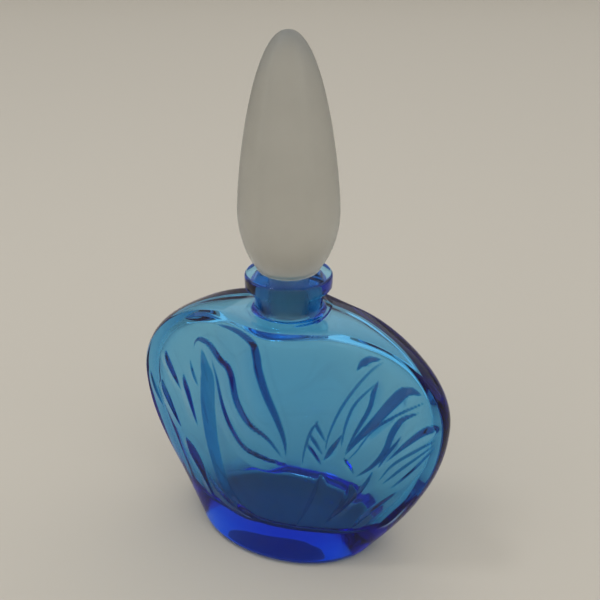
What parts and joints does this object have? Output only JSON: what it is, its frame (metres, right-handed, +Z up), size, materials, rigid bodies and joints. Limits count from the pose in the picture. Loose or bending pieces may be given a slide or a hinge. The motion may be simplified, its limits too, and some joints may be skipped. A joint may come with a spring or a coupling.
{
  "type": "perfume bottle",
  "caption": "Flat, wide perfume bottle of pressed blue glass with raised leaves on its front, a collared neck and a frosted flame stopper that lifts out.",
  "frame": {"origin": "middle of the base, on the surface that the bottle stands on", "axes": "+Z up through the neck and stopper, X along the wide side of the bottle, -Y out of the front face"},
  "size_m": [0.0948, 0.0388, 0.1479],
  "materials": {
    "blue_glass": "clear mid-blue glass, fire polished, deeper blue where it is thick",
    "frosted_glass": "colourless glass, acid frosted to a fine satin all over"
  },
  "bodies": {
    "bottle": {"bottle": "blue_glass"},
    "stopper": {"stopper": "frosted_glass"}
  },
  "joints": [
    {"name": "stopper_lift", "type": "slide", "parent": "bottle", "child": "stopper", "axis": [0, 0, 1], "range_m": [0, 0.04]}
  ]
}
